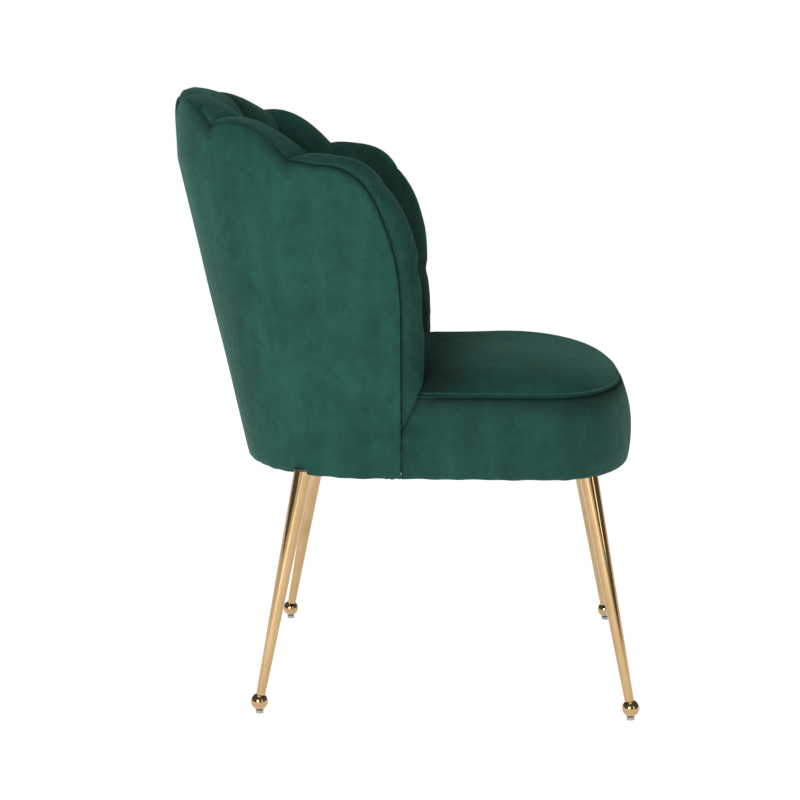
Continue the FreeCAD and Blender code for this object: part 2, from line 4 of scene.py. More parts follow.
import bpy
import numpy as np
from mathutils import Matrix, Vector


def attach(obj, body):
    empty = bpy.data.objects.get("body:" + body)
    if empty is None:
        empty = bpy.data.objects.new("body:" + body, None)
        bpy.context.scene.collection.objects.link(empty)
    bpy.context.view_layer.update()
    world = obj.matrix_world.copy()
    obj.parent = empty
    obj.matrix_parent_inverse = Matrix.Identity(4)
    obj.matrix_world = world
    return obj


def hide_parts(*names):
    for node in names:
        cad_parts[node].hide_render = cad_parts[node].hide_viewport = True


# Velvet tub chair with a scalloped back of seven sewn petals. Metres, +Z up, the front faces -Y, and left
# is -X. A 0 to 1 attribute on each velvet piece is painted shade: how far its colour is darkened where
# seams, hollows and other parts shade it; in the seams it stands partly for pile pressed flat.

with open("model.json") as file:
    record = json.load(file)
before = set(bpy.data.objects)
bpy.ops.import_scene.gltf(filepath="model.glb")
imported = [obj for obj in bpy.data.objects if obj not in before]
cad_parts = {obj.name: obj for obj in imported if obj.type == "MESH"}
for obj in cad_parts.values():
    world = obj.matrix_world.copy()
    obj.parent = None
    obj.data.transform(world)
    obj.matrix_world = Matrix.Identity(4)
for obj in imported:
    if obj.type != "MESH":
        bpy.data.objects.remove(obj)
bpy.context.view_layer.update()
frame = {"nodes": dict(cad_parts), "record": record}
nodes = frame["nodes"]
print("frame loaded:", len(nodes), "nodes")


def toLinear(hexColor):
    # each sRGB byte divided by 255, then undone through the sRGB curve
    values = [int(hexColor[i:i + 2], 16) / 255 for i in (1, 3, 5)]
    return tuple(v / 12.92 if v <= 0.04045 else ((v + 0.055) / 1.055) ** 2.4 for v in values) + (1.0,)


def addNode(tree, kind, settings=None, values=None, links=None):
    # one node: its own settings, its sockets' values, and its inputs' links from other nodes' outputs
    node = tree.nodes.new("ShaderNode" + kind)
    for name, value in (settings or {}).items():
        setattr(node, name, value)
    for socket, value in (values or {}).items():
        node.inputs[socket].default_value = value
    for socket, output in (links or {}).items():
        tree.links.new(output, node.inputs[socket])
    return node


def newMaterial(name):
    material = bpy.data.materials.new(name)
    material.use_nodes = True
    tree = material.node_tree
    shader = tree.nodes["Principled BSDF"]
    return material, tree, shader


def setRamp(node, stops):
    # colour stops as (place, colour) pairs, first and last kept from the node
    ramp = node.color_ramp
    while len(ramp.elements) < len(stops):
        ramp.elements.new(0.5)
    for element, (place, color) in zip(ramp.elements, stops):
        element.position = place
        element.color = color


velvet = {
    "deep": "#113830",        # pile brushed towards the eye
    "body": "#17433a",
    "lit": "#1e5045",         # pile brushed away, where it catches the light
    "paintedShadeColor": "#061c18",     # painted shade, almost black: seams, hollows and places that other parts shade
    "cloud": 0.11,            # size of the broad brushed patches, m
    "mottle": 0.022,          # size of the hand-sized marks, m
    "streak": 0.035,          # width of the faint upright streaks, m
    "pile": 0.0009,           # pile tufts; real ones are 0.3 mm, drawn coarser so that they show
    "bumpDepth": 0.0004,
    "sheen": 0.26,            # of the upright pile; it fades out under the painted shade
}


def makeVelvet():
    # Polyester velvet: cut pile on a knitted back. The pile gives soft patches of light and dark where it
    # was brushed and a pale sheen where the cloth turns away; painted shade, almost black and without
    # sheen, darkens seams, hollows and places that other parts shade.
    material, tree, shader = newMaterial("cutPileVelvet")
    place = addNode(tree, "TexCoord").outputs["Object"]
    cloud = addNode(tree, "TexNoise", links={"Vector": place}, values={
        "Scale": 1 / velvet["cloud"], "Detail": 3.0, "Roughness": 0.55, "Distortion": 0.6})
    mottle = addNode(tree, "TexNoise", links={"Vector": place}, values={
        "Scale": 1 / velvet["mottle"], "Detail": 4.0, "Roughness": 0.6, "Distortion": 1.2})
    upright = addNode(tree, "Mapping", values={"Scale": (1.0, 1.0, 0.12)}, links={"Vector": place})
    streak = addNode(tree, "TexNoise", values={"Scale": 1 / velvet["streak"], "Detail": 2.0},
                     links={"Vector": upright.outputs["Vector"]})
    first = addNode(tree, "Mix", {"data_type": "FLOAT"}, {"Factor": 0.45},
                    {"A": cloud.outputs["Fac"], "B": mottle.outputs["Fac"]})
    brushed = addNode(tree, "Mix", {"data_type": "FLOAT"}, {"Factor": 0.3},
                      {"A": first.outputs["Result"], "B": streak.outputs["Fac"]})
    tone = addNode(tree, "ValToRGB", links={"Fac": brushed.outputs["Result"]})
    setRamp(tone, [(0.36, toLinear(velvet["deep"])), (0.5, toLinear(velvet["body"])),
                   (0.66, toLinear(velvet["lit"]))])
    # painted shade: the attribute darkens the colour towards near black and takes the sheen away
    paintedShade = addNode(tree, "Attribute", {"attribute_name": "paintedShade"})
    shaded = addNode(tree, "Mix", {"data_type": "RGBA"}, {"B": toLinear(velvet["paintedShadeColor"])},
                      {"A": tone.outputs["Color"], "Factor": paintedShade.outputs["Fac"]})
    tree.links.new(shaded.outputs["Result"], shader.inputs["Base Color"])
    tuft = addNode(tree, "TexNoise", values={"Scale": 1 / velvet["pile"], "Detail": 2.0},
                   links={"Vector": place})
    soft = addNode(tree, "Bump", values={"Strength": 0.35, "Distance": 0.004},
                   links={"Height": mottle.outputs["Fac"]})
    bump = addNode(tree, "Bump", values={"Strength": 0.6, "Distance": velvet["bumpDepth"]},
                   links={"Height": tuft.outputs["Fac"], "Normal": soft.outputs["Normal"]})
    tree.links.new(bump.outputs["Normal"], shader.inputs["Normal"])
    shader.inputs["Roughness"].default_value = 0.82
    shader.inputs["Specular IOR Level"].default_value = 0.18
    sheen = addNode(tree, "Math", {"operation": "MULTIPLY_ADD"}, {1: -velvet["sheen"], 2: velvet["sheen"]},
                    {0: paintedShade.outputs["Fac"]})
    tree.links.new(sheen.outputs[0], shader.inputs["Sheen Weight"])
    shader.inputs["Sheen Roughness"].default_value = 0.38
    shader.inputs["Sheen Tint"].default_value = toLinear("#7fc4b2")
    return material


gold = {
    "color": "#bda077", "shade": "#b2946a",
    "haze": 0.03,                            # size of the hazy patches, m
    "smooth": 0.03, "rough": 0.09,           # roughness of the clearest and of the haziest patch
    "brush": 0.0016,                         # width of the draw marks, m
}


def makeGold():
    # Brass-coloured plated steel, polished: clear reflections, with faint haze and fine draw marks.
    material, tree, shader = newMaterial("polishedGoldPlate")
    place = addNode(tree, "TexCoord").outputs["Object"]
    haze = addNode(tree, "TexNoise", values={"Scale": 1 / gold["haze"], "Detail": 5.0},
                   links={"Vector": place})
    rough = addNode(tree, "MapRange", values={"To Min": gold["smooth"], "To Max": gold["rough"]},
                    links={"Value": haze.outputs["Fac"]})
    tree.links.new(rough.outputs["Result"], shader.inputs["Roughness"])
    tint = addNode(tree, "ValToRGB", links={"Fac": haze.outputs["Fac"]})
    setRamp(tint, [(0.3, toLinear(gold["shade"])), (0.7, toLinear(gold["color"]))])
    tree.links.new(tint.outputs["Color"], shader.inputs["Base Color"])
    along = addNode(tree, "Mapping", values={"Scale": (1.0, 1.0, 0.02)}, links={"Vector": place})
    marks = addNode(tree, "TexNoise", values={"Scale": 1 / gold["brush"], "Detail": 1.0},
                    links={"Vector": along.outputs["Vector"]})
    bump = addNode(tree, "Bump", values={"Strength": 0.04, "Distance": 0.0002},
                   links={"Height": marks.outputs["Fac"]})
    tree.links.new(bump.outputs["Normal"], shader.inputs["Normal"])
    shader.inputs["Metallic"].default_value = 1.0
    return material


def makeGrained(name, dark, light, stretch, scale, roughness, depth, detail=4.0):
    # a surface with noise stretched along one axis: wood grain, or even specks where stretch is 1
    material, tree, shader = newMaterial(name)
    place = addNode(tree, "TexCoord").outputs["Object"]
    mapped = addNode(tree, "Mapping", values={"Scale": stretch}, links={"Vector": place})
    grain = addNode(tree, "TexNoise", values={"Scale": 1 / scale, "Detail": detail, "Roughness": 0.6},
                    links={"Vector": mapped.outputs["Vector"]})
    tone = addNode(tree, "ValToRGB", links={"Fac": grain.outputs["Fac"]})
    setRamp(tone, [(0.35, toLinear(dark)), (0.65, toLinear(light))])
    tree.links.new(tone.outputs["Color"], shader.inputs["Base Color"])
    bump = addNode(tree, "Bump", values={"Strength": 0.5, "Distance": depth},
                   links={"Height": grain.outputs["Fac"]})
    tree.links.new(bump.outputs["Normal"], shader.inputs["Normal"])
    shader.inputs["Roughness"].default_value = roughness
    return material


velvetMaterial = makeVelvet()
goldMaterial = makeGold()
# spun polyester thread, dyed to the cloth: a little lighter than the painted seam shade round it
threadMaterial = makeGrained("polyesterThread", "#1d5a4d", "#2c6f60", (1, 1, 1), 0.0008, 0.55, 0.0001)
cadMaterials = {
    "gold_metal": goldMaterial,
    "velvet": velvetMaterial,
    # injection-moulded polypropylene: faintly waxy, with fine moulding specks
    "glide_plastic": makeGrained("mouldedPolypropylene", "#8d8f8c", "#a5a7a4", (1, 1, 1), 0.004, 0.45,
                                 0.0001),
    # birch plywood, sanded: pale with long fine grain
    "plywood": makeGrained("birchPlywood", "#b8955f", "#d9bd8b", (1, 1, 9), 0.03, 0.6, 0.0004),
    # rubberwood block, sawn: coarser grain and a dry surface
    "hardwood": makeGrained("sawnRubberwood", "#9a7446", "#c09a68", (1, 7, 1), 0.02, 0.75, 0.0006),
    # polyurethane foam: open cells, drawn at 3 mm so that they show
    "foam": makeGrained("polyurethaneFoam", "#cfc69c", "#e8e1bf", (1, 1, 1), 0.003, 0.95, 0.0015),
    # bonded polyester fibre: cloudy and matt
    "wadding": makeGrained("polyesterWadding", "#d8d8d4", "#f2f2ef", (1, 1, 1), 0.012, 1.0, 0.003),
    # woven elastic strap: dark rubber and thread ribs across the strap
    "webbing": makeGrained("elasticWebbing", "#1b1916", "#37332d", (1, 1, 1), 0.0025, 0.8, 0.0008),
    # spunbonded polypropylene: black, with a small pressed-in pattern
    "dust_cloth": makeGrained("spunbondedCloth", "#0b0b0c", "#1d1d1f", (1, 1, 1), 0.002, 0.85, 0.0006),
    # powder-coated steel: black with fine orange peel
    "black_steel": makeGrained("blackPowderCoat", "#0d0d0e", "#19191a", (1, 1, 1), 0.0012, 0.42, 0.0003),
    # zinc-plated steel: cool grey with a mottled passivated skin
    "zinc_steel": makeGrained("zincPlatedSteel", "#8f959b", "#bfc4c8", (1, 1, 1), 0.003, 0.35, 0.0001),
}
cadMaterials["zinc_steel"].node_tree.nodes["Principled BSDF"].inputs["Metallic"].default_value = 1.0
print("materials made")


def meshPiece(name, points, faces, material, paintedShade=None):
    # a smooth mesh from an array of points and its faces, with its slot and its painted shade as an
    # attribute
    mesh = bpy.data.meshes.new(name)
    mesh.from_pydata(points.reshape(-1, 3).tolist(), [], faces)
    mesh.validate()
    if paintedShade is not None:
        layer = mesh.attributes.new("paintedShade", "FLOAT", "POINT")
        layer.data.foreach_set("value", np.clip(paintedShade, 0, 1).astype(np.float32).ravel())
    mesh.polygons.foreach_set("use_smooth", np.ones(len(mesh.polygons), bool))
    piece = bpy.data.objects.new(name, mesh)
    bpy.context.scene.collection.objects.link(piece)
    mesh.materials.append(material)
    return piece


def gridFaces(rows, columns):
    # quads between neighbouring rows of a grid whose columns close into a loop, and one face at each end
    i, j = np.meshgrid(np.arange(rows - 1), np.arange(columns), indexing="ij")
    beside = (j + 1) % columns
    low, high = i * columns, (i + 1) * columns
    quads = np.stack([low + j, low + beside, high + beside, high + j], -1)
    faces = quads.reshape(-1, 4).tolist()
    faces.append(list(range(columns))[::-1])
    faces.append([(rows - 1) * columns + k for k in range(columns)])
    return faces


def outward(piece):
    # turns every face of a closed piece to point outwards
    bpy.context.view_layer.objects.active = piece
    piece.select_set(True)
    bpy.ops.object.mode_set(mode="EDIT")
    bpy.ops.mesh.select_all(action="SELECT")
    bpy.ops.mesh.normals_make_consistent(inside=False)
    bpy.ops.object.mode_set(mode="OBJECT")
    piece.select_set(False)


def smoothStep(low, high, value):
    # 0 at low, 1 at high, and a smooth S between; low may be the greater of the two
    t = np.clip((value - low) / (high - low), 0, 1)
    return t * t * (3 - 2 * t)


cloth = {
    "pressure": 3.5, "give": 0.018,          # push from inside, and how much longer the cloth is cut
    "frames": 20, "cap": 0.0055,             # steps, and the furthest that a point may move, m
    "mass": 0.25, "stretch": 18, "shear": 8, "bend": 1.2,
    "holds": (1.0, 0.6, 0.25),               # strengths with which points may be held still
    "soft": [],                              # the pieces to be stuffed
}


def pinned(piece, held):
    # the points that seams, valleys and the hidden side hold still, as a vertex group for the simulation
    group = piece.vertex_groups.new(name="held")
    weights = np.asarray(held, float).ravel()
    for level in cloth["holds"]:
        chosen = np.flatnonzero(np.abs(weights - level) < 0.01)
        group.add(chosen.tolist(), level, "REPLACE")
    cloth["soft"].append(piece)


def stuff():
    # Cloth under pressure from inside, a little longer than its pattern, so that it fills between its
    # seams and puckers along them. Each point's move of length d is cut to cap times tanh(d / cap).
    scene = bpy.context.scene
    starts = []
    for piece in cloth["soft"]:
        flat = np.empty(len(piece.data.vertices) * 3)
        piece.data.vertices.foreach_get("co", flat)
        starts.append(flat.reshape(-1, 3))
        modifier = piece.modifiers.new("cloth", "CLOTH")
        setup = modifier.settings
        setup.quality = 6
        setup.mass = cloth["mass"]
        setup.tension_stiffness = setup.compression_stiffness = cloth["stretch"]
        setup.shear_stiffness = cloth["shear"]
        setup.bending_stiffness = cloth["bend"]
        setup.vertex_group_mass = "held"
        setup.use_pressure = True
        setup.uniform_pressure_force = cloth["pressure"]
        setup.shrink_min = -cloth["give"]
        setup.effector_weights.gravity = 0
        modifier.collision_settings.use_collision = False
        modifier.point_cache.frame_start, modifier.point_cache.frame_end = 1, cloth["frames"]
    for number in range(1, cloth["frames"] + 1):
        scene.frame_set(number)
    graph = bpy.context.evaluated_depsgraph_get()
    ends = []
    for piece in cloth["soft"]:
        shaped = piece.evaluated_get(graph).data
        flat = np.empty(len(shaped.vertices) * 3)
        shaped.vertices.foreach_get("co", flat)
        ends.append(flat.reshape(-1, 3))
    for piece, before, after in zip(cloth["soft"], starts, ends):
        piece.modifiers.clear()
        piece.vertex_groups.clear()
        move = after - before
        far = np.linalg.norm(move, axis=1, keepdims=True)
        move = move * np.tanh(far / cloth["cap"]) * cloth["cap"] / np.maximum(far, 1e-9)
        piece.data.vertices.foreach_set("co", (before + move).ravel())
        piece.data.update()
        print("stuffed", piece.name, "moved up to %.1f mm" % (np.linalg.norm(move, axis=1).max() * 1000))
    scene.frame_set(1)


tub = {
    "base": 0.331, "bend": 0.742,            # heights: underside, and where the rear turns upright
    "halfWidth": 0.232, "rear": 0.2255,      # at the underside
    "roundFrom": 0.0205,                     # the straight sides meet the round rear here, front to rear
    "sideLean": 0.086, "rearLean": 0.2257, "uprightLean": 0.035,
    "square": 2.3,                           # power of the plan's superellipse
}


def tubPoint(turn, z):
    # plan of the tub at height z: a superellipse for turns of 0 to 90 degrees from the rear's middle,
    # then a straight side, one millimetre forward for each unit past 90
    reach = np.abs(turn)
    half = tub["halfWidth"] + tub["sideLean"] * (z - tub["base"])
    deep = tub["rear"] + tub["rearLean"] * (z - tub["base"]) - tub["roundFrom"]
    angle = np.radians(np.minimum(reach, 90))
    power = 2 / tub["square"]
    x = np.sign(turn) * half * np.sin(angle) ** power
    y = tub["roundFrom"] + deep * np.maximum(np.cos(angle), 0) ** power - np.maximum(reach - 90, 0) / 1000
    return x, y


def tubPlace(turn, depth, z):
    # point of the back at a turn, a depth inside the outer surface, and a height: the foot of the tub plus
    # the outward direction times (lean times height, less depth)
    turn, depth, z = np.broadcast_arrays(turn, depth, z)
    level = tub["base"] + 0.3
    ax, ay = tubPoint(turn - 0.5, level)
    bx, by = tubPoint(turn + 0.5, level)
    ox, oy = ay - by, bx - ax
    size = np.hypot(ox, oy)
    ox, oy = ox / size, oy / size
    footX, footY = tubPoint(turn, tub["base"])
    topX, topY = tubPoint(turn, tub["bend"])
    lean = ((topX - footX) * ox + (topY - footY) * oy) / (tub["bend"] - tub["base"])
    away = lean * (np.minimum(z, tub["bend"]) - tub["base"])
    away = away + tub["uprightLean"] * np.maximum(z - tub["bend"], 0) - depth
    return np.stack([footX + ox * away, footY + oy * away, z], -1)


def turnAt(y):
    # the turn at which the tub, level with its bend, is at y front to rear
    deep = tub["rear"] + tub["rearLean"] * (tub["bend"] - tub["base"]) - tub["roundFrom"]
    share = np.clip((y - tub["roundFrom"]) / deep, 0, 1)
    rounded = np.degrees(np.arccos(share ** (tub["square"] / 2)))
    return np.where(y < tub["roundFrom"], 90 + (tub["roundFrom"] - y) * 1000, rounded)


petal = {
    "valleys": (12.0, 36.0, 62.5),              # turns of the sewn valleys
    "notches": (0.829, 0.7995, 0.7525),         # height of the roll at each valley
    "humps": (0.0060, 0.0100, 0.0215),          # rise of the roll between valleys: middle, first, second
    "leftHumps": (0.0060, 0.0072, 0.0130),      # the same on the left: sewn by hand, it lies a little lower
    "seamNotches": (0.810, 0.790, 0.7475),      # height of the outer cover's seam at each valley
    "seamHumps": (0.019, 0.022, 0.021),
    "bottom": 0.398,
    "seamDepth": (0.0050, 0.0072),              # at a valley and on a crown, in from the outer surface
    "crestDepth": 0.031, "innerDepth": 0.102,   # of the roll's top and of the inner face, on a crown
    "valleyCrest": (0.052, 0.057, 0.066),       # depth of the roll's top at each valley
    "channel": 0.008,                           # the inner face at a valley lies this much deeper
    "shoulder": (0.020, 0.088),                 # height over which the roll turns into the inner face
    "proud": 0.0026, "round": 2.4,              # how far the roll stands out, and its superellipse's power
    "hidden": 0.022,                            # depth of the unseen back of a petal
    "across": 41, "around": (14, 16, 52, 6, 30),
}
wing = {
    "peakY": 0.1055, "frontY": -0.0295, "midZ": 0.530, "topZ": 0.7495,     # the wing's edge
    "seamPeakY": 0.130, "seamY": -0.0015, "seamTopZ": 0.7415,              # the outer cover's seam on it
    "tipZ": 0.394, "tipDepth": 0.006, "taperFrom": 0.462,                  # the pointed foot on the band
    "crestDepth": 0.028, "innerDepth": 0.072, "shoulder": 0.040,
    "frontLift": 0.0026,        # the seam on the upright front lies this much nearer the outer surface
    "rows": 100, "flatTo": 0.14, "bendTo": 0.82,                           # shares of the rows
    "around": (16, 18, 24),
}


def crownOf(u, power):
    # 0 at both valleys and 1 between them: a parabola raised to a power, rounder for smaller powers
    return np.maximum(4 * u * (1 - u), 0) ** power


def between(pair, share):
    # the first of a pair at share 0, the second at share 1
    return pair[0] + (pair[1] - pair[0]) * share


def lobe(turn, heights, humps, leftHumps):
    # scalloped height at a turn: straight between the valleys' heights, plus each petal's parabola
    reach = np.abs(turn)
    edges = np.array((-petal["valleys"][0],) + petal["valleys"])
    ends = np.array((heights[0],) + heights)
    index = np.clip(np.searchsorted(edges, reach, side="right") - 1, 0, 2)
    u = np.clip((reach - edges[index]) / (edges[index + 1] - edges[index]), 0, 1)
    rise = np.where(turn < 0, np.array(leftHumps)[index], np.array(humps)[index])
    return ends[index] + (ends[index + 1] - ends[index]) * u + rise * 4 * u * (1 - u)


def petalGrid(start, end):
    # Section of a petal at each turn, as one closed loop: a superellipse's quarter from the seam up to the
    # crest, an ellipse's quarter on to the inner face, the face down to the bottom, and back up unseen.
    # Every depth goes from its value at the valleys to its value on the crown along a half circle.
    p = petal
    u = (1 - np.cos(np.linspace(0, np.pi, p["across"]))) / 2
    turn = (start + (end - start) * u)[:, None]
    full = crownOf(u, 0.5)[:, None]
    inside = start + (end - start) * np.clip(u, 1e-6, 1 - 1e-6)[:, None]
    top = lobe(inside, p["notches"], p["humps"], p["leftHumps"])
    seamZ = lobe(inside, p["seamNotches"], p["seamHumps"], p["seamHumps"])
    notchDepth = np.interp(np.abs(turn), p["valleys"], p["valleyCrest"])
    seamDepth = between(p["seamDepth"], full)
    crestDepth = between((notchDepth, p["crestDepth"]), full)
    inner = between((notchDepth + p["channel"], p["innerDepth"]), full)
    shoulder = between(p["shoulder"], full)
    rise, over, face, under, back = p["around"]
    a = np.linspace(0, np.pi / 2, rise, endpoint=False)[None]
    power = 2 / p["round"]
    puff = p["proud"] * np.sin(2 * a) * (0.4 + 0.6 * full)
    riseDepth = crestDepth - (crestDepth - seamDepth) * np.cos(a) ** power - puff
    riseZ = seamZ + (top - seamZ) * np.sin(a) ** power
    b = np.linspace(0, np.pi / 2, over, endpoint=False)[None]
    overDepth = crestDepth + (inner - crestDepth) * np.sin(b)
    overZ = top - shoulder * (1 - np.cos(b))
    c = np.linspace(0, 1, face, endpoint=False)[None]
    faceZ = top - shoulder - (top - shoulder - p["bottom"]) * c
    faceDepth = inner - p["channel"] * (1 - full) * c
    d = np.linspace(0, 1, under, endpoint=False)[None]
    lowDepth = inner - p["channel"] * (1 - full)
    underDepth = lowDepth + (p["hidden"] - lowDepth) * d
    underZ = p["bottom"] + 0 * d * turn
    e = np.linspace(0, 1, back)[None]
    backZ = p["bottom"] + (seamZ - 0.004 - p["bottom"]) * e
    backDepth = p["hidden"] + (seamDepth + 0.002 - p["hidden"]) * smoothStep(0.93, 1.0, e)
    depth = np.concatenate([riseDepth, overDepth, faceDepth, underDepth, backDepth + 0 * turn], 1)
    z = np.concatenate([riseZ, overZ, faceZ, underZ, backZ], 1)
    points = tubPlace(turn + 0 * z, depth, z)
    # painted shade: a little everywhere, darker towards the valleys, under the seam and over the inner face
    paintedShade = 0.75 * (1 - crownOf(u, 0.3))[:, None] ** 1.5 + 0 * z
    seamShade = np.exp(-np.arange(z.shape[1]) / 1.5)[None] * (1 - 0.65 * full)
    inFace = np.clip((np.arange(z.shape[1]) - rise) / over, 0, 1)[None]
    paintedShade = np.maximum(paintedShade, 0.15 + 0.5 * inFace + 0 * z)
    held = np.zeros_like(z)
    held[:, 1] = held[1] = held[-2] = 0.25
    held[:, 0] = held[0] = held[-1] = 1
    held[:, rise + over + face - 2:] = 1
    return points, np.maximum(paintedShade, 0.8 * seamShade), held


def wingEdges():
    # The wing's edge and its seam, as (y, z) for each row: from the last valley forward along the top,
    # round the front and down to the tip, where the two meet.
    w = wing
    valleyY = float(tubPoint(np.array(petal["valleys"][2]), np.array(tub["bend"]))[1])
    rows = np.linspace(0, 1, w["rows"])
    flatTo, bendTo = w["flatTo"], w["bendTo"]
    flat, bend = rows < flatTo, (rows >= flatTo) & (rows < bendTo)
    s = np.where(flat, rows / flatTo,
                 np.where(bend, (rows - flatTo) / (bendTo - flatTo), (rows - bendTo) / (1 - bendTo)))
    angle = s * np.pi / 2
    power = 2 / (tub["square"] + 0.1)
    sin, cos = np.sin(angle) ** power, np.maximum(np.cos(angle), 0) ** power
    notch, seamNotch = petal["notches"][2], petal["seamNotches"][2]
    edgeY = np.where(flat, valleyY + (w["peakY"] - valleyY) * s,
                     np.where(bend, w["peakY"] - (w["peakY"] - w["frontY"]) * sin, w["frontY"]))
    edgeZ = np.where(flat, notch + (w["topZ"] - notch) * s + 0.002 * np.sin(s * np.pi) ** 0.7,
                     np.where(bend, w["midZ"] + (w["topZ"] - w["midZ"]) * cos,
                              w["midZ"] - (w["midZ"] - w["tipZ"]) * s))
    low = np.clip((w["taperFrom"] - edgeZ) / (w["taperFrom"] - w["tipZ"]), 0, 1)
    edgeY = np.where(flat | bend, edgeY, w["frontY"] + (w["seamY"] - 0.0004 - w["frontY"]) * low ** 1.5)
    seamY = np.where(flat, valleyY + (w["seamPeakY"] - valleyY) * s,
                     np.where(bend, w["seamPeakY"] - (w["seamPeakY"] - w["seamY"]) * sin, w["seamY"]))
    seamZ = np.where(flat, seamNotch + (w["seamTopZ"] - seamNotch) * s,
                     np.where(bend, w["midZ"] + (w["seamTopZ"] - w["midZ"]) * cos,
                              w["midZ"] - (w["midZ"] - w["tipZ"] + 0.001) * s))
    return rows, edgeY, edgeZ, seamY, seamZ


def wingGrid(side):
    # Section of the wing square to its edge: a quarter ellipse from the seam out to the edge, another onto
    # the inner face, and on to the last valley; then back unseen. Next to the valley every depth eases
    # from the valley's to the wing's own along a quarter circle.
    w = wing
    rows, edgeY, edgeZ, seamY, seamZ = wingEdges()
    valley = petal["valleys"][2]
    rise, over, face = w["around"]
    col = lambda value: value[:, None]
    t = np.clip(rows / 0.2, 0, 1)
    ease = np.sqrt(1 - (1 - t) ** 2)
    shoulder = between((petal["shoulder"][0], w["shoulder"]), ease)
    toZ = w["topZ"] - petal["shoulder"][0] - (w["topZ"] - petal["shoulder"][0] - petal["bottom"]) * rows
    toTurn = np.full_like(rows, valley)
    stepY, stepZ = np.gradient(edgeY), np.gradient(edgeZ)
    length = np.hypot(stepY, stepZ)
    inY, inZ = -stepZ / length, stepY / length
    inY = np.where(rows < w["flatTo"], inY * (rows / w["flatTo"]), inY)
    inZ = -np.sqrt(np.maximum(1 - inY ** 2, 0)) * np.where(inZ > 0, -1, 1)
    # on the upright front the roll starts level with the cover's inner side, so that no board shows
    seamDepth = between(petal["seamDepth"], 0.3 * ease) - w["frontLift"] * smoothStep(0.62, 0.56, edgeZ)
    crestDepth = between((petal["valleyCrest"][2], w["crestDepth"]), ease)
    footShare = smoothStep(w["tipZ"] + 0.10, w["tipZ"] + 0.03, edgeZ)
    crestDepth = crestDepth + (w["tipDepth"] - crestDepth) * footShare
    valleyDepth = petal["valleyCrest"][2] + petal["channel"] - 0.008 * rows
    inner = valleyDepth + (w["innerDepth"] - valleyDepth) * ease
    a = np.linspace(0, np.pi / 2, rise, endpoint=False)[None]
    riseY = col(seamY) + col(edgeY - seamY) * np.sin(a)
    riseZ = col(seamZ) + col(edgeZ - seamZ) * np.sin(a)
    puff = petal["proud"] * 1.3 * np.sin(2 * a) * (0.4 + 0.6 * col(ease))
    riseDepth = col(crestDepth) - col(crestDepth - seamDepth) * np.cos(a) ** 0.8 - puff
    b = np.linspace(0, np.pi / 2, over, endpoint=False)[None]
    overY = col(edgeY) + col(inY * shoulder) * (1 - np.cos(b))
    overZ = col(edgeZ) + col(inZ * shoulder) * (1 - np.cos(b))
    overDepth = col(crestDepth) + col(inner - crestDepth) * np.sin(b)
    c = np.linspace(0, 1, face)[None]
    endTurn = turnAt(edgeY + inY * shoulder)
    endTurn = np.where(rows < w["flatTo"], valley + (endTurn - valley) * ease, endTurn)
    endZ = np.maximum(edgeZ + inZ * shoulder, petal["bottom"])
    faceTurn = col(endTurn) + col(toTurn - endTurn) * c
    faceZ = col(endZ) + col(toZ - endZ) * c
    crown = np.sqrt(np.maximum(1 - c ** 3, 0))
    faceDepth = col(valleyDepth) + col(inner - valleyDepth) * crown
    turn = np.concatenate([turnAt(riseY), turnAt(overY), faceTurn], 1)
    z = np.concatenate([riseZ, overZ, faceZ], 1)
    depth = np.concatenate([riseDepth, overDepth, faceDepth], 1)
    back = np.linspace(0, 1, 12)[None]
    backTurn = col(toTurn) + (col(turnAt(seamY)) - col(toTurn)) * back
    backZ = col(toZ) + (col(seamZ) - col(toZ)) * back
    backDepth = petal["hidden"] + (col(seamDepth) + 0.002 - petal["hidden"]) * smoothStep(0.9, 1.0, back)
    turn = np.concatenate([turn, backTurn], 1)
    z = np.concatenate([z, backZ], 1)
    depth = np.concatenate([depth, backDepth], 1)
    points = tubPlace(side * turn, depth, np.maximum(z, w["tipZ"]))
    # painted shade: on the roll near its seam, over the inner face, and next to the last valley
    paintedShade = np.zeros_like(z)
    paintedShade[:, :rise] = 0.3 + 0.3 * np.exp(-np.arange(rise) / 1.5)[None]
    paintedShade[:, rise:rise + over] = 0.3 + 0.3 * np.linspace(0, 1, over)[None]
    paintedShade[:, rise + over:rise + over + face] = 0.6 + 0.2 * np.clip((c - 0.9) / 0.1, 0, 1)
    paintedShade = np.maximum(paintedShade, 0.75 * (1 - col(ease)) ** 2)
    held = np.zeros_like(z)
    held[1] = 0.25
    held[0] = held[-3:] = 1
    held[:, :5] = np.array([1, 1, 1, 0.6, 0.25])
    held[:, rise + over + face - 2:] = 1
    return points, paintedShade, held


def buildBack():
    inner, middle, outer = petal["valleys"]
    spans = [("petal_center", -inner, inner)]
    for name, sign in (("left", -1), ("right", 1)):
        spans.append(("petal_%s_1" % name, sign * inner, sign * middle))
        spans.append(("petal_%s_2" % name, sign * middle, sign * outer))
    made = []
    for name, start, end in spans:
        points, paintedShade, held = petalGrid(start, end)
        piece = meshPiece(name, points, gridFaces(*points.shape[:2]), velvetMaterial, paintedShade)
        pinned(piece, held)
        made.append((piece, name))
    for name, sign in (("wing_left", -1), ("wing_right", 1)):
        points, paintedShade, held = wingGrid(sign)
        piece = meshPiece(name, points, gridFaces(*points.shape[:2]), velvetMaterial, paintedShade)
        pinned(piece, held)
        made.append((piece, name))
    for piece, name in made:
        outward(piece)
        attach(piece, "root")
        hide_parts(name + "_cover", name + "_foam")


buildBack()
print("petals made")


hem = {"height": 0.3266}   # the lower edge of all the covers
cover = {"edgeTurn": 111.6, "shoulder": 0.028, "tuck": 0.0022, "hem": 0.022, "thick": 0.004, "rows": 70,
         "wave": 0.0006, "hemWave": 0.0008}


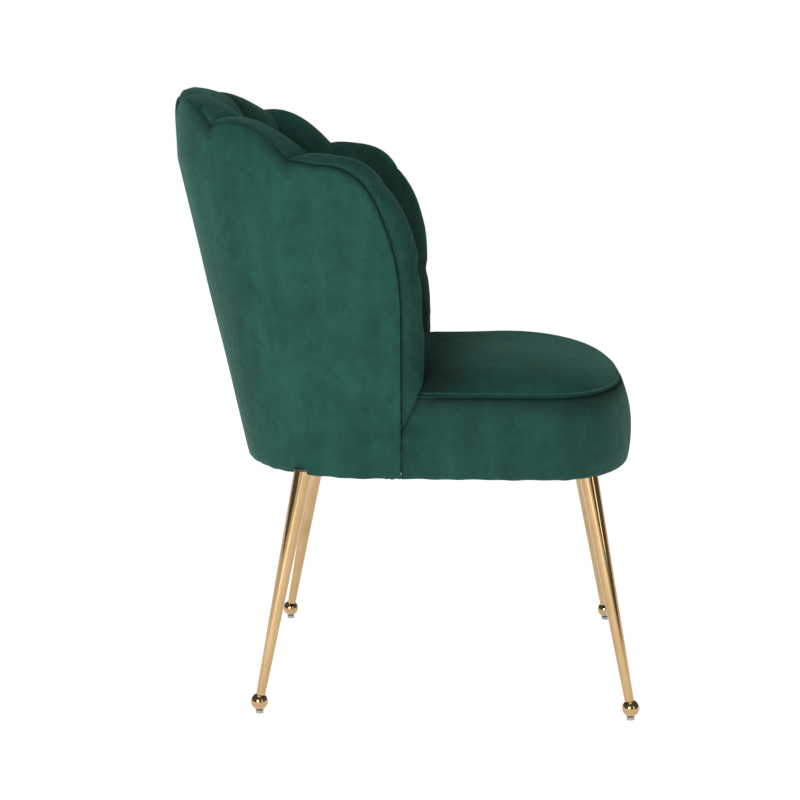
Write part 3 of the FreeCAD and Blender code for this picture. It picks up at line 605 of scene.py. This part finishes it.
def seamHeight(turn):
    # the scalloped seam over the petals, and on a wing the wing's own seam
    reach = np.abs(turn)
    rows, edgeY, edgeZ, seamY, seamZ = wingEdges()
    onWing = np.interp(reach, turnAt(seamY), seamZ)
    scallops = lobe(turn, petal["seamNotches"], petal["seamHumps"], petal["seamHumps"])
    return np.where(reach <= petal["valleys"][2], scallops, onWing)


def crownAt(turn):
    # 0 at the valleys and 1 on the crowns of the petals, along half circles
    reach = np.abs(turn)
    edges = np.array((-petal["valleys"][0],) + petal["valleys"])
    index = np.clip(np.searchsorted(edges, reach, side="right") - 1, 0, 2)
    u = np.clip((reach - edges[index]) / (edges[index + 1] - edges[index]), 0, 1)
    onWing = 0.3 * np.sqrt(1 - (1 - np.clip((reach - edges[3]) / 12, 0, 1)) ** 2)
    return np.where(reach <= edges[3], crownOf(u, 0.5), onWing)


def buildCover():
    # Loop of the cover at each turn: rounded in to its seam under the roll, down the tub's outer surface
    # to the underside, turned in as a hem, and back up unseen inside.
    c = cover
    v = petal["valleys"]
    half = np.concatenate([np.linspace(0, v[0], 16)[:-1], np.linspace(v[0], v[1], 28)[:-1],
                           np.linspace(v[1], v[2], 28)[:-1], np.linspace(v[2], 105, 40)[:-1],
                           np.linspace(105, c["edgeTurn"], 26)])
    turn = np.concatenate([-half[:0:-1], half])[:, None]
    top = seamHeight(turn)
    seamDepth = between(petal["seamDepth"], crownAt(turn))   # the cover ends where the roll begins
    base = hem["height"] + c["hemWave"] * np.sin(turn * 0.55) * np.sin(turn * 0.21 + 1)
    down = np.linspace(0, 1, c["rows"])[None] ** 1.3
    faceZ = top + 0.0015 - (top + 0.0015 - base - 0.0025) * down
    near = np.clip(1 - (top - faceZ) / c["shoulder"], 0, 1)
    last = np.clip(1 - (top - faceZ) / 0.004, 0, 1.5)
    faceDepth = seamDepth * (1 - (1 - near ** 2.4) ** (1 / 2.4)) + c["tuck"] * last ** 2
    faceDepth = faceDepth + c["wave"] * np.sin(turn * 0.19 + faceZ * 23) * np.sin(faceZ * 9) ** 2
    low = np.clip(1 - (faceZ - base) / 0.004, 0, 1)
    faceDepth = faceDepth + 0.0022 * low ** 2
    turned = np.linspace(0, 1, 8)[None]
    hemDepth = 0.003 + c["hem"] * turned
    hemZ = base + 0 * turned
    up = np.linspace(0, 1, c["rows"])[None]
    innerZ = base + c["thick"] + (top - base) * up - 0.0035
    innerDepth = c["thick"] + 0 * innerZ + (c["hem"] - c["thick"]) * (up < 0.5 / c["rows"])
    innerDepth = innerDepth + (seamDepth + c["tuck"]) * smoothStep(0.9, 1.0, up)
    z = np.concatenate([faceZ, hemZ, innerZ], 1)
    depth = np.concatenate([faceDepth, hemDepth + 0 * turn, innerDepth + 0 * turn], 1)
    points = tubPlace(turn + 0 * z, depth, z)
    paintedShade = np.zeros_like(z)
    # painted shade under the seam where the roll overhangs, further down at the valleys, and on the way
    # forward into each valley
    crown = crownAt(turn)
    underSeam = np.clip(1 - (top - faceZ) / (0.016 - 0.009 * crown), 0, 1)
    paintedShade[:, :c["rows"]] = (0.9 - 0.5 * crown) * underSeam ** 1.6
    for valley in v:
        past = np.abs(turn) - valley
        nearValley = np.exp(-(past / np.where(past < 0, 9.0, 2.5)) ** 2)
        hollow = nearValley * np.clip(1 - (top - faceZ) / 0.026, 0, 1)
        paintedShade[:, :c["rows"]] = np.maximum(paintedShade[:, :c["rows"]], 0.85 * hollow)
    # painted shade at the cover's front ends
    edge = smoothStep(c["edgeTurn"] - 2.0, c["edgeTurn"], np.abs(turn)) * 0.5
    paintedShade = np.maximum(paintedShade, edge + 0 * z)
    piece = meshPiece("outer_cover", points, gridFaces(*points.shape[:2]), velvetMaterial, paintedShade)
    outward(piece)
    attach(piece, "root")
    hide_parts("back_outer_cover")


buildCover()
print("outer cover made")


seat = {
    "cornerY": -0.185, "frontShare": 0.62,   # the straight sides meet the bowed front here
    "front": 0.1355, "half": 0.2415, "square": 2.45,
    "seamZ": 0.439, "fullZ": 0.357,
    "sharpRise": 0.0105, "softRise": 0.0350, "sharpReach": 0.010, "softReach": 0.082,
    "rear": 0.195,
}


def bandInset(z):
    # how far the seat's side is drawn in from its fullest line, at the front and at the sides
    above = np.maximum(z - seat["fullZ"], 0) / (seat["seamZ"] - seat["fullZ"])
    below = np.maximum(seat["fullZ"] - z, 0) / (seat["fullZ"] - hem["height"])
    front = 0.0155 * above ** 2.2 + 0.004 * below ** 2
    sideAbove = np.maximum(z - 0.375, 0) / (seat["seamZ"] - 0.375)
    sideBelow = np.maximum(0.375 - z, 0) / (0.375 - hem["height"])
    side = 0.0015 * sideAbove ** 2.2 + 0.009 * sideBelow ** 2
    return front, side


def seatOutline(s, z, pull=0.0):
    # plan of the seat's side at height z, drawn in by pull: s is -1 at the left cover seam, 0 at the middle
    # of the front, 1 at the right. Past the front's superellipse the side runs straight to the cover seam.
    s, z, pull = np.broadcast_arrays(s, z, pull)
    reach = np.abs(s)
    frontShare = seat["frontShare"]
    angle = np.radians(90 * np.clip(reach / frontShare, 0, 1))
    power = 2 / seat["square"]
    frontIn, sideIn = bandInset(z)
    y = seat["cornerY"] - (seat["front"] - frontIn - pull) * np.maximum(np.cos(angle), 0) ** power
    straight = np.clip((reach - frontShare) / (1 - frontShare), 0, 1)
    y = np.where(reach > frontShare, seat["cornerY"] + (wing["seamY"] - seat["cornerY"]) * straight, y)
    blend = smoothStep(-0.15, -0.02, y)
    tubHalf = tub["halfWidth"] + tub["sideLean"] * (z - tub["base"]) - 0.0008
    wide = (seat["half"] - sideIn) * (1 - blend) + tubHalf * blend - pull
    x = np.sign(s) * wide * np.where(reach > frontShare, 1, np.sin(angle) ** power)
    return x, y


def buildBand():
    # Loop of the band at each place along the seat's side: rolled in under the seam, down the full side to
    # the underside, turned in as a hem, and back up unseen inside.
    even = np.linspace(-1, 1, 241)[:, None]
    s = 0.3 * np.sin(even * np.pi / 2) + 0.7 * even          # closer together towards the cover seams
    rows = 44
    down = np.linspace(0, 1, rows)[None]
    topZ, baseZ = seat["seamZ"] - 0.0008, hem["height"]
    wavy = 0.0009 * np.sin(s * 61) * np.sin(s * 23 + 1.3) + 0.002 * smoothStep(0.5, 0.1, np.abs(s))
    faceZ = topZ - (topZ - baseZ - wavy) * down
    roll = 0.006 * np.clip(1 - (topZ - faceZ) / 0.004, 0, 1) ** 2
    tuckIn = 0.003 * np.clip(1 - (faceZ - baseZ) / 0.003, 0, 1) ** 2
    softness = 0.0009 * np.sin(s * 17 + 3 * faceZ / 0.1) * np.sin((faceZ - baseZ) / (topZ - baseZ) * np.pi)
    turned = np.linspace(0, 1, 7)[None]
    hemZ = baseZ + wavy + 0 * turned - 0.0002
    hemPull = 0.004 + 0.024 * turned
    up = np.linspace(0, 1, rows)[None]
    innerZ = baseZ + 0.004 + (topZ - 0.004 - baseZ) * up
    innerPull = 0.028 - 0.018 * np.sin(up * np.pi / 2)
    z = np.concatenate([faceZ, hemZ, innerZ + 0 * s], 1)
    pull = np.concatenate([roll + tuckIn + softness, hemPull + 0 * s, innerPull + 0 * s], 1)
    # the band lies deeper where the wing's foot overlaps it
    underWing = smoothStep(-0.055, -0.028, seatOutline(s, z)[1])
    pull = pull + 0.009 * underWing * smoothStep(wing["tipZ"] - 0.012, wing["tipZ"] + 0.010, z)
    x, y = seatOutline(s + 0 * z, z, pull)
    points = np.stack([x, y, z], -1)
    paintedShade = np.zeros_like(z)
    # painted shade under the seam, where the top panel overhangs, furthest down near the front corners
    shade = 0.014 + 0.012 * np.exp(-((np.abs(s) - 0.52) / 0.16) ** 2)
    paintedShade[:, :rows] = 0.2 + 0.6 * np.exp(-(np.maximum(topZ - faceZ, 0) / shade) ** 2)
    # painted shade at the band's ends, against the cover
    ends = smoothStep(0.985, 1.0, np.abs(s)) * 0.6
    paintedShade = np.maximum(paintedShade, ends + 0 * z)
    piece = meshPiece("seat_band", points, gridFaces(*points.shape[:2]), velvetMaterial, paintedShade)
    outward(piece)
    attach(piece, "root")
    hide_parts("seat_band_cover")


def topOutline(angle):
    # plan of the seat's top panel: the band's seam line in front, and behind it a superellipse that runs
    # unseen under the petals; angle 0 is the middle of the front
    reach = np.abs(angle)
    s = np.sign(angle) * np.interp(reach, [0, 1.2, 2.0], [0, seat["frontShare"], 1.0])
    x, y = seatOutline(s, seat["seamZ"], 0.0015)
    rearAngle = np.clip((reach - 2.0) / (np.pi - 2.0), 0, 1) * np.pi / 2
    startX = tub["halfWidth"] + tub["sideLean"] * (seat["seamZ"] - tub["base"]) - 0.004
    rearX = np.sign(angle) * startX * np.cos(rearAngle) ** 0.8
    rearY = wing["seamY"] + (seat["rear"] - wing["seamY"]) * np.sin(rearAngle) ** 0.8
    tucked = 0.012 * smoothStep(-0.035, -0.010, y)
    behind = reach > 2.0
    x = np.where(behind, rearX - np.sign(angle) * 0.012, x - np.sign(angle) * tucked)
    return x, np.where(behind, rearY, y)


def topRise(distance):
    # height of the cushion over its seam at a distance from the edge: a quick rounding plus a slow crown
    return (seat["sharpRise"] * (1 - np.exp(-distance / seat["sharpReach"]))
            + seat["softRise"] * (1 - np.exp(-distance / seat["softReach"])))


def buildSeatTop():
    # Rings of the outline shrunk towards the middle, raised by topRise of their distance from the edge;
    # the underside is a flat sheet of the same rings.
    angle = np.linspace(-np.pi, np.pi, 220, endpoint=False)[:, None]
    edgeX, edgeY = topOutline(angle)
    middle = np.array([0.0, -0.05])
    reachOf = np.hypot(edgeX - middle[0], edgeY - middle[1])
    inward = np.linspace(0, 1, 64)[None] ** 1.7
    distance = reachOf * inward
    x = edgeX + (middle[0] - edgeX) * inward
    y = edgeY + (middle[1] - edgeY) * inward
    z = seat["seamZ"] + 0.0006 + topRise(distance)
    under = np.linspace(0, 1, 8)[None]
    underX = edgeX + (middle[0] - edgeX) * (0.02 + 0.98 * under)
    underY = edgeY + (middle[1] - edgeY) * (0.02 + 0.98 * under)
    underZ = seat["seamZ"] - 0.002 - 0.004 * np.minimum(under * 8, 1) + 0 * angle
    loopX = np.concatenate([underX[:, ::-1], x], 1)
    loopY = np.concatenate([underY[:, ::-1], y], 1)
    loopZ = np.concatenate([underZ[:, ::-1], z], 1)
    points = np.stack([loopX, loopY, loopZ], -1).transpose(1, 0, 2)
    rings, count = points.shape[:2]
    paintedShade = np.zeros((rings, count))
    # painted shade in the seam round the panel's edge
    paintedShade[8:] = 0.7 * np.exp(-distance.T / 0.004)
    # painted shadow of the back and the wings: darker towards the back, most of all beside the wings
    shade = smoothStep(-0.15, -0.025, y) * (0.55 + 0.35 * np.minimum(np.abs(x) / 0.2, 1) ** 2)
    paintedShade[8:] = np.maximum(paintedShade[8:], shade.T)
    piece = meshPiece("seat_top", points, gridFaces(rings, count), velvetMaterial, paintedShade)
    held = np.zeros((rings, count))
    held[:17] = 1
    held[17] = 0.25
    pinned(piece, held)
    outward(piece)
    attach(piece, "root")
    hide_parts("seat_top_cover", "seat_wadding", "seat_foam")


stitch = {"pitch": 0.0024, "from": 0.0012, "to": 0.0052, "width": 0.00045}


def buildStitches():
    # Thread over the top panel's edge: an even row of spindles lying across the seam, each a stretched
    # octahedron from one distance to another up the cushion's rounding.
    angle = np.linspace(-1.9, 1.9, 4001)
    x, y = topOutline(angle)
    along = np.concatenate([[0], np.cumsum(np.hypot(np.diff(x), np.diff(y)))])
    marks = np.arange(0.004, along[-1] - 0.004, stitch["pitch"])
    x, y = np.interp(marks, along, x), np.interp(marks, along, y)
    stepX, stepY = np.gradient(x), np.gradient(y)
    size = np.hypot(stepX, stepY)
    stepX, stepY = stepX / size, stepY / size
    level = seat["seamZ"] + 0.0008
    ends = [np.stack([x - stepY * d, y + stepX * d, level + topRise(d) + 0 * x], -1)
            for d in (stitch["from"], stitch["to"])]
    center = (ends[0] + ends[1]) / 2
    side = np.stack([stepX, stepY, 0 * x], -1) * stitch["width"]
    lift = np.cross(side, ends[1] - ends[0])
    lift = lift / np.linalg.norm(lift, axis=1, keepdims=True) * stitch["width"]
    corners = np.stack([ends[0], ends[1], center + side, center - side, center + lift, center - lift], 1)
    faces = np.array([[0, 2, 4], [0, 4, 3], [0, 3, 5], [0, 5, 2],
                      [1, 4, 2], [1, 3, 4], [1, 5, 3], [1, 2, 5]])
    faces = (faces[None] + 6 * np.arange(len(marks))[:, None, None]).reshape(-1, 3)
    piece = meshPiece("seat_topstitch", corners.reshape(-1, 3), faces, threadMaterial)
    outward(piece)
    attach(piece, "root")


buildBand()
buildSeatTop()
buildStitches()
print("seat made")
stuff()


slotOf = {part["node"]: part["material_slot"] for part in frame["record"]["subparts"]}
for name, node in nodes.items():
    node.data.materials.clear()
    node.data.materials.append(cadMaterials[slotOf[name]])
print("packed parts painted")


studio = {
    "floorColor": "#f4f4f2", "floorSize": 30.0, "floorGlow": 0.80,
    "world": 0.24, "seen": 1.0, "mirrored": 0.14,      # the room as light, to the eye, and in reflections
    "lights": [  # name, place, aim, width, height, watts
        ("keyLight", (-3.2, 1.0, 1.1), (0.0, 0.05, 0.5), 1.6, 1.6, 66),
        ("fillLight", (-2.6, -2.2, 1.2), (0.0, -0.1, 0.40), 0.6, 1.8, 10),
        ("topLight", (-0.2, 0.2, 3.0), (0.0, -0.1, 0.4), 1.8, 1.8, 13)],
    "eye": (-2.623, -0.0861, 0.8489), "pitch": 9.839, "yaw": 2.063, "lens": 83.16,
}


def buildStage():
    size = studio["floorSize"]
    corners = np.array([[-size, -size, 0], [size, -size, 0], [size, size, 0], [-size, size, 0]], float)
    # painted board, rolled smooth: almost even, matt, and bright enough to run into the room's white
    paint = makeGrained("paintedFloor", "#f1f1ef", studio["floorColor"], (1, 1, 1), 0.5, 0.8, 0.0)
    floor = meshPiece("floor", corners, [[0, 1, 2, 3]], paint)
    glow = floor.data.materials[0].node_tree.nodes["Principled BSDF"]
    glow.inputs["Emission Color"].default_value = (1, 1, 1, 1)
    glow.inputs["Emission Strength"].default_value = studio["floorGlow"]
    world = bpy.data.worlds.new("studioWorld")
    world.use_nodes = True
    tree = world.node_tree
    # the eye sees a white room; the chair gets less light from it, and the metal reflects a darker one
    path = addNode(tree, "LightPath")
    dim = studio["world"]
    seen = addNode(tree, "Math", {"operation": "MULTIPLY_ADD"}, {1: studio["seen"] - dim, 2: dim},
                   {0: path.outputs["Is Camera Ray"]})
    strength = addNode(tree, "Math", {"operation": "MULTIPLY_ADD"}, {1: studio["mirrored"] - dim},
                       {0: path.outputs["Is Glossy Ray"], 2: seen.outputs[0]})
    tree.nodes["Background"].inputs["Color"].default_value = (1, 1, 1, 1)
    tree.links.new(strength.outputs[0], tree.nodes["Background"].inputs["Strength"])
    bpy.context.scene.world = world
    for name, place, aim, width, height, watts in studio["lights"]:
        data = bpy.data.lights.new(name, "AREA")
        data.shape = "RECTANGLE"
        data.size, data.size_y, data.energy = width, height, watts
        lamp = bpy.data.objects.new(name, data)
        lamp.location = place
        lamp.rotation_euler = (Vector(aim) - Vector(place)).to_track_quat("-Z", "Y").to_euler()
        bpy.context.scene.collection.objects.link(lamp)
    camera = bpy.data.objects.new("camera", bpy.data.cameras.new("camera"))
    camera.data.lens = studio["lens"]
    camera.data.sensor_width = 36
    camera.location = studio["eye"]
    pitch, yaw = math.radians(studio["pitch"]), math.radians(studio["yaw"])
    ahead = Vector((math.cos(pitch) * math.cos(yaw), math.cos(pitch) * math.sin(yaw), -math.sin(pitch)))
    camera.rotation_euler = ahead.to_track_quat("-Z", "Y").to_euler()
    bpy.context.scene.collection.objects.link(camera)
    bpy.context.scene.camera = camera


buildStage()
bpy.context.scene.view_settings.view_transform = "Standard"
print("stage made")
